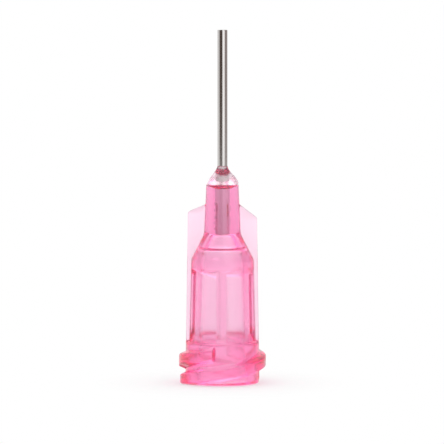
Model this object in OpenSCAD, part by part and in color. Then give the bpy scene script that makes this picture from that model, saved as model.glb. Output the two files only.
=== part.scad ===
// Dispensing needle tip: a stainless tube bonded into a moulded hub with a two-start lock thread.
// Millimetres. The hub stands on the mouth of its socket, centred on the origin, and the
// tube points along +Z.

/* [Tube] */
// Outer diameter of the tube
tube_od = 0.91; // [0.7:0.01:0.95]
// Inner diameter of the tube
tube_id = 0.60; // [0.2:0.01:0.65]
// Length of tube that stands clear of the hub's rim
tube_out = 14.0; // [6:0.1:38]
// Length of tube held below the hub's rim
tube_in = 4.6; // [3.4:0.1:5.2]
// Radius of the honed edges at the free end
tube_edge = 0.05; // [0.01:0.01:0.07]

/* [Hub] */
// Height of the hub from its mouth to the rim of its nose
hub_h = 18.0; // [17.4:0.1:24]
// Outer radius of the collar that carries the thread
collar_r = 3.32; // [3.2:0.01:3.6]
// Height of the collar
collar_h = 3.8; // [3.5:0.1:4.6]
// Radius of the rounded top edge of the collar
collar_round = 0.3; // [0.05:0.01:0.33]
// Outer radius of the barrel at the collar
barrel_r_low = 2.98; // [2.85:0.01:3.1]
// Outer radius of the barrel at the shoulder
barrel_r_top = 2.8; // [2.7:0.01:2.95]
// Height at which the barrel ends and the shoulder starts
barrel_top = 11.2; // [10.6:0.1:11.8]
// Outer radius of the nose at the shoulder
nose_r_low = 1.66; // [1.55:0.01:1.8]
// Outer radius of the nose at its rim
nose_r_top = 1.47; // [1.38:0.01:1.55]
// Height at which the shoulder ends and the nose starts
nose_base = 13.5; // [13:0.1:14]
// Width of the bevel round the outside of the mouth
foot_bevel = 0.12; // [0.05:0.01:0.3]

/* [Socket] */
// Diameter of the taper socket at its mouth
mouth_d = 4.3; // [4.2:0.01:4.4]
// Taper of the socket, as the diameter lost for each unit of depth
taper = 0.06; // [0.05:0.005:0.07]
// Depth of the taper socket
socket_h = 10.2; // [9:0.1:11]
// Width of the bevel round the mouth of the socket
mouth_bevel = 0.15; // [0.05:0.01:0.3]
// Height of the roof over the socket
roof_z = 12.1; // [11.8:0.1:12.3]
// Radius of the rounded corner under the roof
roof_round = 0.3; // [0.1:0.05:0.4]
// Width of the small step where the taper ends
taper_step = 0.04; // [0.01:0.01:0.1]
// Radius of the funnel where it opens into the roof
funnel_r_low = 1.35; // [1.1:0.01:1.4]
// Radius of the funnel at the foot of the tube
funnel_r_top = 0.8; // [0.6:0.01:1.0]

/* [Lock thread] */
// Outer radius of the thread's crest
crest_r = 3.95; // [3.75:0.01:4.1]
// Rise of one thread in a full turn
lead = 3.6; // [3.2:0.1:4]
// Height of the thread at its root
root_h = 1.45; // [1.2:0.05:1.6]
// Height of the thread at its crest
crest_h = 0.9; // [0.6:0.05:1.1]
// Height of the middle of a thread where it passes its wing
thread_z = 2.03; // [1.9:0.01:2.2]
// Angle from its wing at which the first thread begins
first_begin = -170; // [-175:1:-120]
// Angle from its wing at which the second thread begins
second_begin = -138; // [-175:1:-120]
// Angle from its wing at which both threads end
thread_end = 83; // [60:1:88]
// Angle over which each end of a thread sinks into the collar
thread_fade = 5; // [2:1:15]

/* [Grip panels] */
// Depth of the shallow panels sunk in the barrel
panel_depth = 0.35; // [0.1:0.01:0.4]
// Height at which the panels end
panel_top = 9.95; // [8:0.05:10.4]
// Width of the rib left standing between two panels
rib_w = 0.95; // [0.6:0.05:1.4]
// Land left between a panel and its wing
wing_land = 0.3; // [0.1:0.05:0.6]

/* [Wings] */
// Thickness of each wing
wing_t = 0.7; // [0.5:0.05:1.0]
// Reach of each wing from the axis at the collar
wing_reach_low = 3.3; // [3.2:0.01:3.32]
// Reach of each wing from the axis at its top corner
wing_reach_top = 3.13; // [3.0:0.01:3.18]
// Height of the top corner of the wing on the +X side
right_corner_z = 15.0; // [14:0.1:15.6]
// Height of the top corner of the wing on the -X side
left_corner_z = 15.55; // [14:0.1:15.6]
// Radius of the top corner of the wing on the +X side
right_corner_r = 0.2; // [0.1:0.05:0.8]
// Radius of the top corner of the wing on the -X side
left_corner_r = 0.6; // [0.1:0.05:0.8]
// Height at which the wings' top edges meet the nose
wing_top_z = 16.2; // [15.9:0.1:16.6]

/* [Adhesive] */
// Height of the dome of adhesive above the rim
dome_h = 1.7; // [1:0.05:2.2]
// Width of bare rim left round the dome
rim_left = 0.04; // [0.02:0.01:0.1]
// Depth of the countersink in the nose
well_h = 0.9; // [0.5:0.1:1.6]
// Width of the rim round the countersink
rim_w = 0.25; // [0.15:0.01:0.35]
// Thickness of the film of adhesive round the tube
bond_gap = 0.05; // [0.02:0.01:0.1]

/* [Hidden] */
$fn = 64;

// Steps along a thread, along a rounded edge and along the dome's outline
THREAD_STEPS = 56;
ARC_STEPS = 5;
DOME_STEPS = 14;
// How far a cut runs past the face that it opens
PAST = 1;
// How far the thread and the wings reach into the body that carries them
BITE = 0.3;

tube_r = tube_od / 2;
tube_bore_r = tube_id / 2;
tube_foot = hub_h - tube_in;
tube_tip = hub_h + tube_out;
hole_r = tube_r + bond_gap;
mouth_r = mouth_d / 2;
dome_r = nose_r_top - rim_left;
well_r = nose_r_top - rim_w;
well_floor = hub_h - well_h;
wing_foot = collar_h - collar_round - BITE;

// Radius of the taper socket at height z
function socket_r(z) = mouth_r - taper * z / 2;
neck_r = socket_r(socket_h) - taper_step;

// Radius of the barrel's outside at height z
function barrel_r(z) = barrel_r_low
    + (barrel_r_top - barrel_r_low) * (z - collar_h) / (barrel_top - collar_h);

// Points on an arc of radius r round centre c, from angle a to angle b
function arc(c, r, a, b) = [
    for (i = [0 : ARC_STEPS])
        c + r * [cos(a + (b - a) * i / ARC_STEPS), sin(a + (b - a) * i / ARC_STEPS)]
];

// Point at t on the cubic curve that p, q, s and e steer
function curve(t, p, q, s, e) = p * pow(1 - t, 3) + 3 * q * t * pow(1 - t, 2)
    + 3 * s * t * t * (1 - t) + e * pow(t, 3);

// Outline of the body of the hub, without its cavity
module body_outline() {
    polygon(concat(
        [[0, 0], [collar_r - foot_bevel, 0], [collar_r, foot_bevel]],
        arc([collar_r - collar_round, collar_h - collar_round], collar_round, 0, 90),
        [
            [barrel_r_low, collar_h], [barrel_r_top, barrel_top],
            [nose_r_low, nose_base], [nose_r_top, hub_h], [0, hub_h]
        ]
    ));
}

// Outline of the cavity: taper socket, roof, funnel, tube hole and countersink
module cavity_outline() {
    polygon(concat(
        [
            [0, -PAST], [socket_r(-mouth_bevel) + mouth_bevel, -PAST],
            [socket_r(0) + mouth_bevel, 0], [socket_r(mouth_bevel), mouth_bevel],
            [socket_r(socket_h), socket_h], [neck_r, socket_h]
        ],
        arc([neck_r - roof_round, roof_z - roof_round], roof_round, 0, 90),
        [
            [funnel_r_low, roof_z], [funnel_r_top, tube_foot], [hole_r, tube_foot],
            [hole_r, well_floor], [well_r, hub_h], [well_r, hub_h + PAST],
            [0, hub_h + PAST]
        ]
    ));
}

// Half of the plate that both wings are cut from, on the +X side
module wing_outline(corner_z, corner_r) {
    nose_r = nose_r_top + (nose_r_low - nose_r_top)
        * (hub_h - wing_top_z) / (hub_h - nose_base);
    fall = atan2(wing_top_z - corner_z, wing_reach_top - nose_r);
    corner = [wing_reach_top - corner_r, corner_z - corner_r];
    polygon(concat(
        [[0, wing_foot], [wing_reach_low, wing_foot]],
        arc(corner, corner_r, 0, 90 - fall),
        [[nose_r - BITE, wing_top_z + BITE * tan(fall)], [0, wing_top_z]]
    ));
}

module wings() {
    rotate([90, 0, 0])
        linear_extrude(height = wing_t, center = true) {
            wing_outline(right_corner_z, right_corner_r);
            mirror([1, 0]) wing_outline(left_corner_z, left_corner_r);
        }
}

// One sunk panel, from the rib in front of it round to the wing beside it
module panel_cut() {
    from = asin((rib_w / 2) / barrel_r_low);
    to = 90 - asin((wing_t / 2 + wing_land) / barrel_r_low);
    rotate([0, 0, from])
        rotate_extrude(angle = to - from)
            polygon([
                [barrel_r(collar_h) - panel_depth, collar_h],
                [barrel_r(collar_h) + PAST, collar_h],
                [barrel_r(panel_top) + PAST, panel_top],
                [barrel_r(panel_top) - panel_depth, panel_top]
            ]);
}

// Points across a ridge at angle a: a trapezium whose flanks run on into the collar
function ridge_section(a, crest) =
    let (
        mid = thread_z + lead * a / 360,
        slope = (root_h - crest_h) / 2 / (crest_r - collar_r),
        foot_half = root_h / 2 + slope * BITE,
        crest_half = root_h / 2 - slope * (crest - collar_r),
        foot = collar_r - BITE
    )
    [
        for (p = [[foot, -foot_half], [crest, -crest_half], [crest, crest_half], [foot, foot_half]])
            [p[0] * cos(a), p[0] * sin(a), mid + p[1]]
    ];

// One ridge of the lock thread, swept from angle begin, measured from its wing, and cut off
// level with the mouth
module thread_ridge(begin) {
    first = begin + thread_fade;
    last = thread_end - thread_fade;
    sunk = collar_r - BITE / 2;
    points = concat(
        ridge_section(begin, sunk),
        [
            for (i = [0 : THREAD_STEPS])
                each ridge_section(first + (last - first) * i / THREAD_STEPS, crest_r)
        ],
        ridge_section(thread_end, sunk)
    );
    rings = THREAD_STEPS + 3;
    faces = concat(
        [[3, 2, 1, 0]],
        [
            for (i = [0 : rings - 2], k = [0 : 3])
                let (a = i * 4 + k, b = i * 4 + (k + 1) % 4)
                    each [[a, b + 4, a + 4], [a, b, b + 4]]
        ],
        [[for (k = [0 : 3]) (rings - 1) * 4 + k]]
    );
    difference() {
        polyhedron(points, faces, convexity = 6);
        translate([-2 * crest_r, -2 * crest_r, -root_h - PAST])
            cube([4 * crest_r, 4 * crest_r, root_h + PAST]);
    }
}

module hub() {
    color([1.0, 0.56, 0.76])
        difference() {
            union() {
                difference() {
                    rotate_extrude() body_outline();
                    for (side = [0, 1], quarter = [0, 1])
                        rotate([0, 0, 180 * side - 90])
                            mirror([0, quarter, 0]) panel_cut();
                }
                wings();
                thread_ridge(first_begin);
                rotate([0, 0, 180]) thread_ridge(second_begin);
            }
            rotate_extrude() cavity_outline();
        }
}

module tube() {
    color([0.72, 0.71, 0.70])
        rotate_extrude()
            polygon(concat(
                [[tube_bore_r, tube_foot], [tube_r, tube_foot]],
                arc([tube_r - tube_edge, tube_tip - tube_edge], tube_edge, 0, 90),
                arc([tube_bore_r + tube_edge, tube_tip - tube_edge], tube_edge, 90, 180)
            ));
}

module adhesive() {
    top = [tube_r, hub_h + dome_h];
    rim = [dome_r, hub_h];
    color([0.93, 0.93, 0.90])
        rotate_extrude()
            polygon(concat(
                [
                    [tube_r, tube_foot], [hole_r, tube_foot], [hole_r, well_floor],
                    [well_r, hub_h]
                ],
                [
                    for (i = [0 : DOME_STEPS])
                        curve(1 - i / DOME_STEPS, top, top + [0.16, -0.42 * dome_h],
                            rim + [-0.22, 0.55 * dome_h], rim)
                ]
            ));
}

hub();
tube();
adhesive();
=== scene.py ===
"""Dispensing needle tip: a steel tube bonded into a translucent pink hub, on a white table."""

import math

import bpy
import numpy as np
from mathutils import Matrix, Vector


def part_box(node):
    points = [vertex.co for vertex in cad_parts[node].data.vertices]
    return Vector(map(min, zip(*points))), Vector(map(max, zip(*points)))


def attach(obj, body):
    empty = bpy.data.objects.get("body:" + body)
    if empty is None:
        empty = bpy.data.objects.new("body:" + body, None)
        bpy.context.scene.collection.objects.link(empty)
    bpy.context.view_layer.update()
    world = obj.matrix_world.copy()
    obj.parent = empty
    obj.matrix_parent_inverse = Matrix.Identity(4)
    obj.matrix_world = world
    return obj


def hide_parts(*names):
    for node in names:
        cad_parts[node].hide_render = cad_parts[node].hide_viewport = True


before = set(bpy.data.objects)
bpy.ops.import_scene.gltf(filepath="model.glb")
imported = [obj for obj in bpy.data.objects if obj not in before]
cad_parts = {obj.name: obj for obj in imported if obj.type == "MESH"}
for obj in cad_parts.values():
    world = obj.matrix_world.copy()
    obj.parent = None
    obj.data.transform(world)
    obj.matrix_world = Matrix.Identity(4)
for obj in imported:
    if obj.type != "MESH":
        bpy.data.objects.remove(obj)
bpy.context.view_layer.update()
MM = 0.001

# ---------------------------------------------------------------------------------------------
# Hub. One injection moulding in translucent pink polypropylene, glossy outside and faintly
# milky inside. It is a turned body with a socket from below, a two-start lock thread round
# its collar, four sunk panels in the barrel and two thin wings to turn it by.

HUB_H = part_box("hub")[1][2] / MM
COLLAR_R, COLLAR_H = 3.32, 3.8
BARREL_LOW, BARREL_TOP_R, BARREL_TOP = 2.98, 2.8, 11.2
NOSE_LOW, NOSE_TOP, NOSE_BASE = 1.66, 1.47, 13.5
TUBE_R, TUBE_BORE_R, TUBE_FOOT = 0.455, 0.30, 13.4
WELL_R, WELL_FLOOR = 1.22, 17.6
CREST_R, LEAD, ROOT_HALF, CREST_HALF, THREAD_Z = 3.95, 3.6, 0.725, 0.45, 2.03
PANEL_DEPTH, PANEL_TOP, RIB_HALF, WING_LAND = 0.35, 9.95, 0.475, 0.3
WING_HALF, WING_EDGE, WING_DRAFT = 0.35, 0.09, 0.05
WING_REACH_LOW, WING_REACH_TOP, WING_TOP = 3.3, 3.13, 16.2
WING_CORNERS = ((1, 15.0, 0.16), (-1, 15.55, 0.35))  # side, height and rounding of each top corner
# Ridges of the lock thread, in degrees: the angle at mid height, where it begins and where it ends
RIDGES = ((360.0, 190.0, 443.0), (180.0, 42.0, 263.0))
FADE = 5.0


def rounded(corners, closed=False):
    """Points along a path through (r, z, radius) corners, with each corner turned on an arc."""
    count = len(corners)
    path = []
    for i, (r, z, radius) in enumerate(corners):
        here = np.array((r, z))
        if not radius or (not closed and i in (0, count - 1)):
            path.append(here)
            continue
        before = np.array(corners[i - 1][:2]) - here
        after = np.array(corners[(i + 1) % count][:2]) - here
        before, after = before / np.linalg.norm(before), after / np.linalg.norm(after)
        half = math.acos(np.clip(before @ after, -1, 1)) / 2
        reach = radius / math.tan(half)
        middle = before + after
        centre = here + middle / np.linalg.norm(middle) * radius / math.sin(half)
        start, end = here + before * reach, here + after * reach
        steps = max(2, round((math.pi - 2 * half) / math.radians(13)))
        path.append(start + before * min(0.03, radius / 2))
        for k in range(steps + 1):
            point = start + (end - start) * k / steps - centre
            path.append(centre + point / np.linalg.norm(point) * radius)
        path.append(end + after * min(0.03, radius / 2))
    return np.array(path)


def spaced(path, longest):
    """The path with each stretch cut into steps no longer than longest(z)."""
    out = [path[0]]
    for a, b in zip(path[:-1], path[1:]):
        steps = max(1, math.ceil(np.linalg.norm(b - a) / longest((a[1] + b[1]) / 2) - 1e-6))
        # A long stretch may cross heights with shorter steps, so it is walked in small pieces.
        if steps > 1 or np.linalg.norm(b - a) > 0.5:
            walk = np.linspace(0, 1, max(2, math.ceil(np.linalg.norm(b - a) / 0.05)) + 1)
            last = 0.0
            for t in walk[1:-1]:
                point = a + (b - a) * t
                if np.linalg.norm(b - a) * (t - last) >= longest(point[1]) - 1e-6:
                    out.append(point)
                    last = t
        out.append(b)
    return np.array(out)


def row_step(z):
    """Longest step between rows of the hub's outside at height z, in millimetres."""
    near_thread = z < COLLAR_H - 0.1
    near_panel_end = abs(z - PANEL_TOP) < 0.6
    near_wing_top = 14.7 < z < WING_TOP + 0.15
    return 0.055 if near_thread or near_wing_top else 0.07 if near_panel_end else 0.7


def smooth_step(x, width):
    """0 below -width, 1 above width, and a smooth rise between."""
    t = np.clip((x + width) / (2 * width), 0, 1)
    return t * t * (3 - 2 * t)


def soft_max(a, b, blend):
    """The larger of a and b, with the change from one to the other rounded over blend."""
    h = np.clip(0.5 + 0.5 * (a - b) / blend, 0, 1)
    return b + (a - b) * h + blend * h * (1 - h)


def panel_sink(angle, z, r):
    """How far the barrel is sunk at an angle in degrees from the +X wing."""
    quarter = np.abs(((angle + 90) % 180) - 90)
    from_rib = np.radians(90 - quarter) * r - RIB_HALF
    from_wing = np.radians(quarter) * r - WING_HALF - WING_LAND
    across = smooth_step(from_rib, 0.05) * smooth_step(from_wing, 0.05)
    # Two opposite panels have a top edge that slants.
    slanted = ((angle % 180) < 90).astype(float)
    top = PANEL_TOP - 0.05 + slanted * np.clip(0.5 * (from_rib / 2.2) - 0.15, -0.15, 0.35)
    along = smooth_step(z - COLLAR_H - 0.06, 0.05) * smooth_step(top - z, 0.05)
    return PANEL_DEPTH * across * along


def ridge_radius(angle, z):
    """Radius of the lock thread at an angle in degrees, and the collar's where there is none."""
    out = np.full(np.broadcast(angle, z).shape, COLLAR_R - 0.3)
    for wing, begin, end in RIDGES:
        for turn in (0.0, 360.0):
            a = angle % 360 + turn
            middle = THREAD_Z + LEAD * (a - wing) / 360
            slope = (ROOT_HALF - CREST_HALF) / (CREST_R - COLLAR_R)
            flank = CREST_R + (CREST_HALF - np.abs(z - middle)) / slope
            top = -soft_max(-flank, np.full(flank.shape, -CREST_R), 0.09)
            share = np.minimum(smooth_step(a - begin - FADE / 2, FADE / 2),
                               smooth_step(end - FADE / 2 - a, FADE / 2))
            out = np.maximum(out, COLLAR_R - 0.3 + (top - COLLAR_R + 0.3) * share)
    return out


def wing_reach(z, corner_z, corner_r):
    """How far a wing reaches from the axis at height z."""
    rise = (z - COLLAR_H) / (corner_z - COLLAR_H)
    side = WING_REACH_LOW + (WING_REACH_TOP - WING_REACH_LOW) * rise
    nose = NOSE_TOP + (NOSE_LOW - NOSE_TOP) * (HUB_H - WING_TOP) / (HUB_H - NOSE_BASE)
    slope = (WING_REACH_TOP - nose) / (WING_TOP - corner_z)
    roof = nose + (WING_TOP - z) * slope
    return -soft_max(-side, -roof, corner_r)


outer = spaced(rounded([
    (COLLAR_R, -1.0, 0), (COLLAR_R, COLLAR_H, 0.3), (BARREL_LOW, COLLAR_H, 0.02),
    (BARREL_TOP_R, BARREL_TOP, 0.7), (NOSE_LOW, NOSE_BASE, 1.2), (NOSE_TOP, HUB_H, 0.07),
    (WELL_R, HUB_H, 0),
]), row_step)
outer = outer[outer[:, 1] > 0.13]
foot = rounded([(2.6, 0.0, 0), (COLLAR_R, 0.0, 0.12), (COLLAR_R, 0.14, 0)])
outer = np.vstack([foot[1:-1], outer])
inner = rounded([
    (WELL_R + 0.05, HUB_H, 0), (WELL_R, HUB_H, 0.03), (TUBE_R - 0.01, WELL_FLOOR, 0),
    (TUBE_R - 0.01, TUBE_FOOT, 0), (0.8, TUBE_FOOT, 0.06), (1.35, 12.1, 0.08),
    (1.804, 12.1, 0.42), (1.804, 10.22, 0.015), (1.844, 10.2, 0.015), (2.1455, 0.15, 0.03),
    (2.3, 0.0, 0.03), (2.6, 0.0, 0),
])
inner = inner[1:-1]

# Columns round the hub. Those of a wing keep their place across its thickness; the rest share
# the arc between the wings, closer together beside the ribs and where a ridge ends.
edge_turn = np.radians([0, 22.5, 45, 67.5, 90])
wing_y = np.concatenate([
    [0.0, 0.1, 0.2], WING_HALF - WING_EDGE + WING_EDGE * np.sin(edge_turn),
    WING_HALF + WING_DRAFT * np.array([0.04, 0.12, 0.25, 0.4, 0.55, 0.7, 0.82, 0.9, 0.96, 1.0]),
])
wing_drop = np.concatenate([
    [0.0, 0.0, 0.0], WING_EDGE * (1 - np.cos(edge_turn)), np.full(10, WING_EDGE),
])
wing_share = np.concatenate([
    np.zeros(8), [0.04, 0.12, 0.25, 0.4, 0.55, 0.7, 0.82, 0.9, 0.96, 1.0],
])
collar_side = math.degrees(math.asin((WING_HALF + WING_DRAFT) / COLLAR_R))
plain = np.linspace(collar_side, 180 - collar_side, 112)[1:-1]
rib_turn = math.degrees(math.asin(RIB_HALF / BARREL_LOW))
special = [90 - rib_turn, 90 + rib_turn, 37.0, 42.0, 47.0, 78.0, 83.0, 97.0, 102.0, 165.0, 170.0]
extra = np.concatenate([np.array(special) + d for d in (-0.5, 0.0, 0.5)])
between = np.unique(np.round(np.concatenate([plain, extra]), 2))
between = (between - collar_side) / (180 - 2 * collar_side)
between = between[(between > 0.004) & (between < 0.996)]


def ring(r, z, is_outer):
    """x and y of every column at one row whose plain radius is r."""
    side = math.asin(min(0.97, (WING_HALF + WING_DRAFT) / r))
    x_out, y_out = [], []
    for facing, corner_z, corner_r in WING_CORNERS:
        y = np.concatenate([-wing_y[:0:-1], wing_y])
        drop = np.concatenate([wing_drop[:0:-1], wing_drop])
        share = np.concatenate([wing_share[:0:-1], wing_share])
        y = y * min(1.0, 0.9 * r / (WING_HALF + WING_DRAFT))
        angle = np.degrees(np.arcsin(y / r))
        angle = angle if facing > 0 else 180 - angle
        body = body_radius(angle, z, r) if is_outer else np.full(y.shape, r)
        x = np.sqrt(np.maximum(body ** 2 - y ** 2, 1e-6))
        if is_outer:
            reach = wing_reach(z, corner_z, corner_r) if z < HUB_H - 0.5 else 0.0
            edge = (reach - drop) * (1 - share) + (x.min() - 0.02) * share
            x = soft_max(x, edge, 0.05) if z > 0.3 else x
        x_out.append(facing * x)
        y_out.append(facing * y)
        arc = side + (math.pi - 2 * side) * between
        if facing < 0:
            arc = arc + math.pi
        angle = np.degrees(arc)
        body = body_radius(angle, z, r) if is_outer else np.full(arc.shape, r)
        x_out.append(body * np.cos(arc))
        y_out.append(body * np.sin(arc))
    return np.concatenate(x_out), np.concatenate(y_out)


def body_radius(angle, z, r):
    """Radius of the moulded body at an angle, with its panels and lock thread."""
    out = np.full(np.shape(angle), r, float)
    if COLLAR_H <= z < BARREL_TOP:
        out = out - panel_sink(np.asarray(angle), z, r)
    if z < COLLAR_H:
        sink = 1.0 if z > 0.06 else 0.85
        out = soft_max(out, out + (ridge_radius(np.asarray(angle), z) - out) * sink, 0.05)
    return out


def loop_mesh(name, rings, extra_shells=()):
    """A closed mesh from rings of points that follow one another, the last joined to the first."""
    rows, columns = len(rings), len(rings[0])
    points = np.concatenate(rings) * MM
    i, j = np.meshgrid(np.arange(rows), np.arange(columns), indexing="ij")
    i2, j2 = (i + 1) % rows, (j + 1) % columns
    quads = np.stack([i * columns + j, i * columns + j2, i2 * columns + j2, i2 * columns + j], -1)
    quads = quads.reshape(-1, 4)
    a, b, c, d = (points[quads[:, k]] for k in range(4))
    volume = (np.einsum("ij,ij->i", a, np.cross(b, c)) + np.einsum("ij,ij->i", a, np.cross(c, d))).sum()
    if volume < 0:
        quads = quads[:, ::-1]
    faces = [tuple(int(v) for v in q) for q in quads]
    points = [tuple(float(v) for v in p) for p in points]
    for shell_points, shell_faces in extra_shells:
        start = len(points)
        points += shell_points
        faces += [tuple(v + start for v in f) for f in shell_faces]
    mesh = bpy.data.meshes.new(name)
    mesh.from_pydata(points, [], faces)
    mesh.validate()
    mesh.polygons.foreach_set("use_smooth", np.ones(len(mesh.polygons), bool))
    mesh.update()
    piece = bpy.data.objects.new(name, mesh)
    bpy.context.collection.objects.link(piece)
    return piece


def void_shell(centre, size, sides=12, rings=8):
    """A small closed bubble of air, its faces turned inwards: centre and half sizes in mm."""
    points = [(centre[0], centre[1], centre[2] + size[2])]
    for i in range(1, rings):
        lat = math.pi * i / rings
        for j in range(sides):
            lon = 2 * math.pi * j / sides
            points.append((centre[0] + size[0] * math.sin(lat) * math.cos(lon),
                           centre[1] + size[1] * math.sin(lat) * math.sin(lon),
                           centre[2] + size[2] * math.cos(lat)))
    points.append((centre[0], centre[1], centre[2] - size[2]))
    last = len(points) - 1
    faces = [(0, 1 + (j + 1) % sides, 1 + j) for j in range(sides)]
    for i in range(rings - 2):
        for j in range(sides):
            a, b = 1 + i * sides + j, 1 + i * sides + (j + 1) % sides
            faces.append((a, b, b + sides, a + sides))
    low = 1 + (rings - 2) * sides
    faces += [(last, low + j, low + (j + 1) % sides) for j in range(sides)]
    return [tuple(v * MM for v in p) for p in points], faces


rings = []
for r, z in outer:
    x, y = ring(r, z, True)
    rings.append(np.column_stack([x, y, np.full(x.shape, z)]))
top_angle = np.unwrap(np.arctan2(rings[-1][:, 1], rings[-1][:, 0]))
mouth_angle = np.unwrap(np.arctan2(rings[0][:, 1], rings[0][:, 0]))
path = np.concatenate([[0], np.cumsum(np.linalg.norm(np.diff(inner, axis=0), axis=1))])
for (r, z), walked in zip(inner, path / path[-1]):
    angle = top_angle + (mouth_angle - top_angle) * walked
    rings.append(np.column_stack([r * np.cos(angle), r * np.sin(angle), np.full(angle.shape, z)]))

VOIDS = [  # x, y and z of the middle, then the half sizes, of each void left beside the tube
    (-0.50, -0.20, 16.30, 0.05, 0.10, 0.22), (-0.52, -0.14, 15.70, 0.04, 0.08, 0.16),
    (-0.49, -0.24, 15.15, 0.06, 0.12, 0.26), (-0.53, -0.12, 14.55, 0.05, 0.08, 0.14),
    (-0.50, -0.20, 14.10, 0.06, 0.11, 0.20), (0.53, -0.15, 15.90, 0.03, 0.06, 0.30),
    (0.52, -0.17, 14.70, 0.03, 0.06, 0.45),
]
hub = loop_mesh("hub_moulding", rings, [void_shell(v[:3], v[3:]) for v in VOIDS])


def new_material(name):
    """A material with an empty node tree, its tree and its output node."""
    material = bpy.data.materials.new(name)
    material.use_nodes = True
    tree = material.node_tree
    tree.nodes.clear()
    return material, tree, tree.nodes.new("ShaderNodeOutputMaterial")


def noise(tree, scale, detail=2.0, stretch=(1, 1, 1)):
    """A noise over the piece's own coordinates, with its pattern drawn out by stretch."""
    place = tree.nodes.new("ShaderNodeTexCoord")
    mapping = tree.nodes.new("ShaderNodeMapping")
    mapping.inputs["Scale"].default_value = stretch
    texture = tree.nodes.new("ShaderNodeTexNoise")
    texture.inputs["Scale"].default_value = scale
    texture.inputs["Detail"].default_value = detail
    tree.links.new(place.outputs["Object"], mapping.inputs["Vector"])
    tree.links.new(mapping.outputs["Vector"], texture.inputs["Vector"])
    return texture.outputs["Fac"]


def ramp(tree, source, stops):
    """A colour ramp on source: stops are (place, colour or grey level)."""
    node = tree.nodes.new("ShaderNodeValToRGB")
    elements = node.color_ramp.elements
    while len(elements) > 1:
        elements.remove(elements[-1])
    for k, (place, colour) in enumerate(stops):
        element = elements[0] if k == 0 else elements.new(place)
        element.position = place
        colour = (colour,) * 3 if isinstance(colour, float) else colour
        element.color = (*colour, 1.0)
    tree.links.new(source, node.inputs["Fac"])
    return node.outputs["Color"]


def bump(tree, height, depth_mm, strength=1.0):
    """A bump whose full height is depth_mm."""
    node = tree.nodes.new("ShaderNodeBump")
    node.inputs["Strength"].default_value = strength
    node.inputs["Distance"].default_value = depth_mm * MM
    tree.links.new(height, node.inputs["Height"])
    return node.outputs["Normal"]


PINK_TAKEN = (0.5, 400.0, 180.0)  # red, green and blue light taken out, for each metre of plastic
PINK_DENSITY = 405.0


def hub_material():
    material, tree, out = new_material("hub_plastic")
    skin = tree.nodes.new("ShaderNodeBsdfPrincipled")
    skin.inputs["Transmission Weight"].default_value = 0.95
    skin.inputs["IOR"].default_value = 1.49
    flow = noise(tree, 260.0, 3.0, (1, 1, 0.35))
    tree.links.new(ramp(tree, flow, [(0.3, (1.0, 0.94, 0.97)), (0.7, (1.0, 0.98, 0.99))]),
                   skin.inputs["Base Color"])
    haze = noise(tree, 900.0, 2.0, (1, 1, 0.25))
    tree.links.new(ramp(tree, haze, [(0.3, 0.17), (0.75, 0.24)]), skin.inputs["Roughness"])
    tree.links.new(bump(tree, noise(tree, 420.0, 2.0, (1, 1, 0.4)), 0.006), skin.inputs["Normal"])
    tree.links.new(skin.outputs["BSDF"], out.inputs["Surface"])
    depth = tree.nodes.new("ShaderNodeVolumeAbsorption")
    depth.inputs["Density"].default_value = PINK_DENSITY
    depth.inputs["Color"].default_value = (*(1 - t / PINK_DENSITY for t in PINK_TAKEN), 1.0)
    tree.links.new(depth.outputs["Volume"], out.inputs["Volume"])
    return material


hub.data.materials.append(hub_material())
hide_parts("hub")
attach(hub, "root")

# ---------------------------------------------------------------------------------------------
# Tube. Drawn stainless tube, cut square and honed so that both edges of its free end are
# rounded. Its foot sits level with the top of the funnel inside the hub.

TUBE_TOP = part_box("tube")[1][2] / MM
HONED = 0.05


def turned(corners, columns=96):
    """Rings of a closed turned shape whose outline passes through (r, z, radius) corners."""
    outline = rounded(corners, closed=True)
    angle = np.linspace(0, 2 * math.pi, columns, endpoint=False)
    return [np.column_stack([r * np.cos(angle), r * np.sin(angle), np.full(columns, z)])
            for r, z in outline]


tube = loop_mesh("steel_tube", turned([
    (TUBE_R, TUBE_FOOT, 0.01), (TUBE_R, TUBE_TOP, HONED), (TUBE_BORE_R, TUBE_TOP, HONED),
    (TUBE_BORE_R, TUBE_FOOT, 0.01),
], 128))


def steel_material():
    material, tree, out = new_material("drawn_stainless_steel")
    skin = tree.nodes.new("ShaderNodeBsdfPrincipled")
    skin.inputs["Metallic"].default_value = 1.0
    lines = noise(tree, 2600.0, 3.0, (1, 1, 0.012))
    stain = noise(tree, 500.0, 2.0, (1, 1, 0.2))
    tree.links.new(ramp(tree, stain, [(0.35, (0.60, 0.575, 0.56)), (0.7, (0.70, 0.68, 0.665))]),
                   skin.inputs["Base Color"])
    tree.links.new(ramp(tree, lines, [(0.3, 0.07), (0.7, 0.16)]), skin.inputs["Roughness"])
    tree.links.new(bump(tree, lines, 0.0006), skin.inputs["Normal"])
    tree.links.new(skin.outputs["BSDF"], out.inputs["Surface"])
    return material


tube.data.materials.append(steel_material())
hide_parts("tube")
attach(tube, "root")

# ---------------------------------------------------------------------------------------------
# Adhesive. Clear cured resin, put on wet round the tube: it fills the countersink and stands
# on the rim as a dome that climbs the tube in a thin meniscus, with a few small bubbles. Its
# colour is pinker than clear resin: painted pink light from the hub under it.

DOME_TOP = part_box("adhesive")[1][2] / MM
DOME_R = 1.43
SEAM = 0.004


def dome_curve(t):
    """Point on the dome's outline, from the rim at 0 to the tube at 1."""
    rise = DOME_TOP - HUB_H
    ends = np.array([(DOME_R, HUB_H + SEAM), (DOME_R - 0.2, HUB_H + 0.55 * rise),
                     (TUBE_R + 0.16, HUB_H + 0.58 * rise), (TUBE_R, DOME_TOP)])
    shares = ((1 - t) ** 3, 3 * t * (1 - t) ** 2, 3 * t * t * (1 - t), t ** 3)
    return sum(s * e for s, e in zip(shares, ends))


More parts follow.
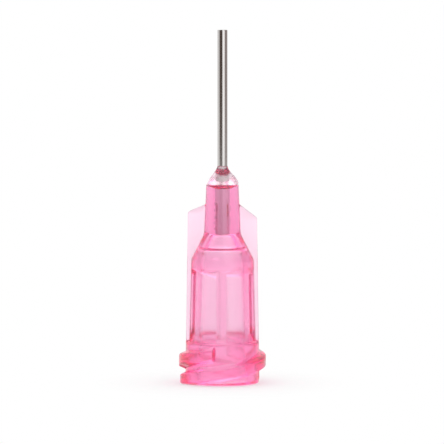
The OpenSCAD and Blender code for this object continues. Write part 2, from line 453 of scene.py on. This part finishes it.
outline = [(TUBE_R - 0.008, WELL_FLOOR + 0.05), (TUBE_R + 0.02, WELL_FLOOR + 0.05),
           (WELL_R - 0.01, HUB_H - SEAM), (WELL_R + 0.01, HUB_H + SEAM)]
outline += [tuple(dome_curve(t)) for t in np.linspace(0, 1, 30)]
outline += [(TUBE_R - 0.008, DOME_TOP)]
angle = np.linspace(0, 2 * math.pi, 96, endpoint=False)
dome_rings = []
for r, z in outline:
    lift = max(0.0, min(1.0, (z - HUB_H) / 0.3)) * max(0.0, (r - TUBE_R) / (DOME_R - TUBE_R))
    wave = 1 + lift * (0.05 * np.cos(angle) + 0.02 * np.cos(3 * angle + 0.7))
    dome_rings.append(np.column_stack([r * wave * np.cos(angle), r * wave * np.sin(angle),
                                       np.full(96, z)]))
BUBBLES = [  # centre x, y, z and radius of each bubble in the resin
    (-1.16, -0.35, 18.10, 0.05), (1.20, -0.30, 18.12, 0.06), (0.95, -0.55, 18.32, 0.045),
    (-0.80, -0.62, 18.30, 0.05), (0.62, -0.40, 18.75, 0.035), (-0.15, -0.95, 18.25, 0.04),
]
bubbles = [void_shell(b[:3], (b[3], b[3], b[3])) for b in BUBBLES]
dome = loop_mesh("adhesive_dome", dome_rings, bubbles)


def resin_material():
    material, tree, out = new_material("clear_adhesive")
    skin = tree.nodes.new("ShaderNodeBsdfPrincipled")
    skin.inputs["Transmission Weight"].default_value = 1.0
    skin.inputs["IOR"].default_value = 1.5
    # Base colour: painted pink light from the hub under the clear resin, varied by noise.
    painted_hub_pink = noise(tree, 1500.0, 2.0)
    tree.links.new(ramp(tree, painted_hub_pink, [(0.3, (1.0, 0.78, 0.86)), (0.7, (1.0, 0.86, 0.92))]),
                   skin.inputs["Base Color"])
    tree.links.new(ramp(tree, noise(tree, 800.0), [(0.3, 0.20), (0.8, 0.30)]),
                   skin.inputs["Roughness"])
    tree.links.new(bump(tree, noise(tree, 700.0, 1.0), 0.01), skin.inputs["Normal"])
    tree.links.new(skin.outputs["BSDF"], out.inputs["Surface"])
    return material


dome.data.materials.append(resin_material())
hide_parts("adhesive")
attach(dome, "root")

# ---------------------------------------------------------------------------------------------
# Table and light. A white table with a painted pink glow of light through the hub close to it, in a
# white tent of strength 1.
# Steel mirrors a bright panel at the front right and dark gaps. Light that has come through the
# plastic sees a tent that is brighter than 1 and coloured, which makes up for its losses.

bpy.ops.mesh.primitive_circle_add(vertices=96, radius=0.4, fill_type="NGON",
                                  location=(0, 0, -0.00003))
table = bpy.context.object
table.name = "table"


def table_material():
    material, tree, out = new_material("white_table")
    matt = tree.nodes.new("ShaderNodeBsdfDiffuse")
    bright = tree.nodes.new("ShaderNodeEmission")
    place = tree.nodes.new("ShaderNodeTexCoord")
    length = tree.nodes.new("ShaderNodeVectorMath")
    length.operation = "LENGTH"
    tree.links.new(place.outputs["Object"], length.inputs[0])
    # Painted pink light from the hub on the table near it: pink within 2.5 mm of the axis, fading to
    # white by 6.5 mm.
    painted_light_reach = tree.nodes.new("ShaderNodeMapRange")
    painted_light_reach.inputs["From Min"].default_value = 0.0025
    painted_light_reach.inputs["From Max"].default_value = 0.0065
    tree.links.new(length.outputs["Value"], painted_light_reach.inputs["Value"])
    near_and_far = [(0.0, (1.0, 0.86, 0.93)), (1.0, (0.98, 0.98, 0.98))]
    tree.links.new(ramp(tree, painted_light_reach.outputs["Result"], near_and_far), matt.inputs["Color"])
    fade = tree.nodes.new("ShaderNodeMapRange")
    fade.inputs["From Min"].default_value = 0.004
    fade.inputs["From Max"].default_value = 0.012
    fade.inputs["To Min"].default_value = 0.45
    tree.links.new(length.outputs["Value"], fade.inputs["Value"])
    mix = tree.nodes.new("ShaderNodeMixShader")
    tree.links.new(fade.outputs["Result"], mix.inputs["Fac"])
    tree.links.new(matt.outputs["BSDF"], mix.inputs[1])
    tree.links.new(bright.outputs["Emission"], mix.inputs[2])
    tree.links.new(mix.outputs["Shader"], out.inputs["Surface"])
    return material


table.data.materials.append(table_material())

world = bpy.data.worlds.new("tent")
bpy.context.scene.world = world
world.use_nodes = True
sky = world.node_tree
sky.nodes.clear()
direction = sky.nodes.new("ShaderNodeTexCoord")
apart = sky.nodes.new("ShaderNodeSeparateXYZ")
sky.links.new(direction.outputs["Generated"], apart.inputs["Vector"])
front = sky.nodes.new("ShaderNodeMath")
front.operation = "MULTIPLY"
front.inputs[1].default_value = -1.0
sky.links.new(apart.outputs["Y"], front.inputs[0])
bearing = sky.nodes.new("ShaderNodeMath")
bearing.operation = "ARCTAN2"
sky.links.new(apart.outputs["X"], bearing.inputs[0])
sky.links.new(front.outputs[0], bearing.inputs[1])
share = sky.nodes.new("ShaderNodeMapRange")
share.inputs["From Min"].default_value = -math.pi
share.inputs["From Max"].default_value = math.pi
sky.links.new(bearing.outputs[0], share.inputs["Value"])


def bearing_stops(stops):
    """Ramp stops from (degrees right of the front, colour) pairs."""
    return [((a + 180) / 360, c) for a, c in stops]


mirrored = ramp(sky, share.outputs["Result"], bearing_stops([
    (-180, 0.9), (-78, 0.85), (-60, (0.12, 0.09, 0.075)), (-2, (0.07, 0.052, 0.043)),
    (8, 1.3), (48, 1.3), (62, (0.30, 0.25, 0.24)), (140, (0.42, 0.37, 0.36)), (165, 1.0), (180, 1.0),
]))
come_through = ramp(sky, share.outputs["Result"], bearing_stops([
    (-180, 1.0), (-165, 1.0), (-125, (1.0, 0.80, 0.90)), (-72, 1.0), (-58, (0.5, 0.36, 0.4)),
    (-4, (0.42, 0.28, 0.32)), (8, 1.0), (60, 1.0), (85, (1.0, 0.55, 0.76)),
    (140, (1.0, 0.62, 0.82)), (165, 1.0), (180, 1.0),
]))
LEVEL_THROUGH, OVERHEAD_THROUGH = 1.55, 2.4  # strengths at the horizon and overhead
overhead = sky.nodes.new("ShaderNodeMapRange")
overhead.inputs["From Min"].default_value = 0.25
overhead.inputs["From Max"].default_value = 0.85
overhead.inputs["To Min"].default_value = LEVEL_THROUGH
overhead.inputs["To Max"].default_value = OVERHEAD_THROUGH
sky.links.new(apart.outputs["Z"], overhead.inputs["Value"])
through = sky.nodes.new("ShaderNodeVectorMath")
through.operation = "SCALE"
sky.links.new(come_through, through.inputs[0])
sky.links.new(overhead.outputs["Result"], through.inputs["Scale"])
rays = sky.nodes.new("ShaderNodeLightPath")
seen = None
for colour, ray in ((mirrored, "Is Glossy Ray"), (through.outputs["Vector"], "Is Transmission Ray"),
                    (None, "Is Camera Ray")):
    mix = sky.nodes.new("ShaderNodeMix")
    mix.data_type = "RGBA"
    mix.inputs[6].default_value = (1, 1, 1, 1)
    mix.inputs[7].default_value = (1, 1, 1, 1)
    sky.links.new(rays.outputs[ray], mix.inputs[0])
    if seen is not None:
        sky.links.new(seen, mix.inputs[6])
    if colour is not None:
        sky.links.new(colour, mix.inputs[7])
    seen = mix.outputs[2]
glow = sky.nodes.new("ShaderNodeBackground")
sky.links.new(seen, glow.inputs["Color"])
sky_out = sky.nodes.new("ShaderNodeOutputWorld")
sky.links.new(glow.outputs["Background"], sky_out.inputs["Surface"])

# ---------------------------------------------------------------------------------------------
# Camera. A little above the middle of the part, looking slightly down, with a long lens.

AZIMUTH, ELEVATION, DISTANCE = math.radians(2.0), math.radians(3.2), 0.25
AIM = (-0.00004, 0.0, 0.0146)
PICTURE_HEIGHT = 0.0403
lens = bpy.data.cameras.new("camera")
camera = bpy.data.objects.new("camera", lens)
bpy.context.collection.objects.link(camera)
camera.location = (
    AIM[0] + DISTANCE * math.sin(AZIMUTH) * math.cos(ELEVATION),
    AIM[1] - DISTANCE * math.cos(AZIMUTH) * math.cos(ELEVATION),
    AIM[2] + DISTANCE * math.sin(ELEVATION),
)
camera.rotation_euler = (math.pi / 2 - ELEVATION, 0.0, AZIMUTH)
lens.sensor_width = 36.0
lens.lens = 36.0 * DISTANCE / PICTURE_HEIGHT
lens.clip_start = 0.01
scene = bpy.context.scene
scene.camera = camera
scene.view_settings.view_transform = "Standard"
scene.cycles.max_bounces = 32
scene.cycles.transmission_bounces = 32
scene.cycles.glossy_bounces = 16
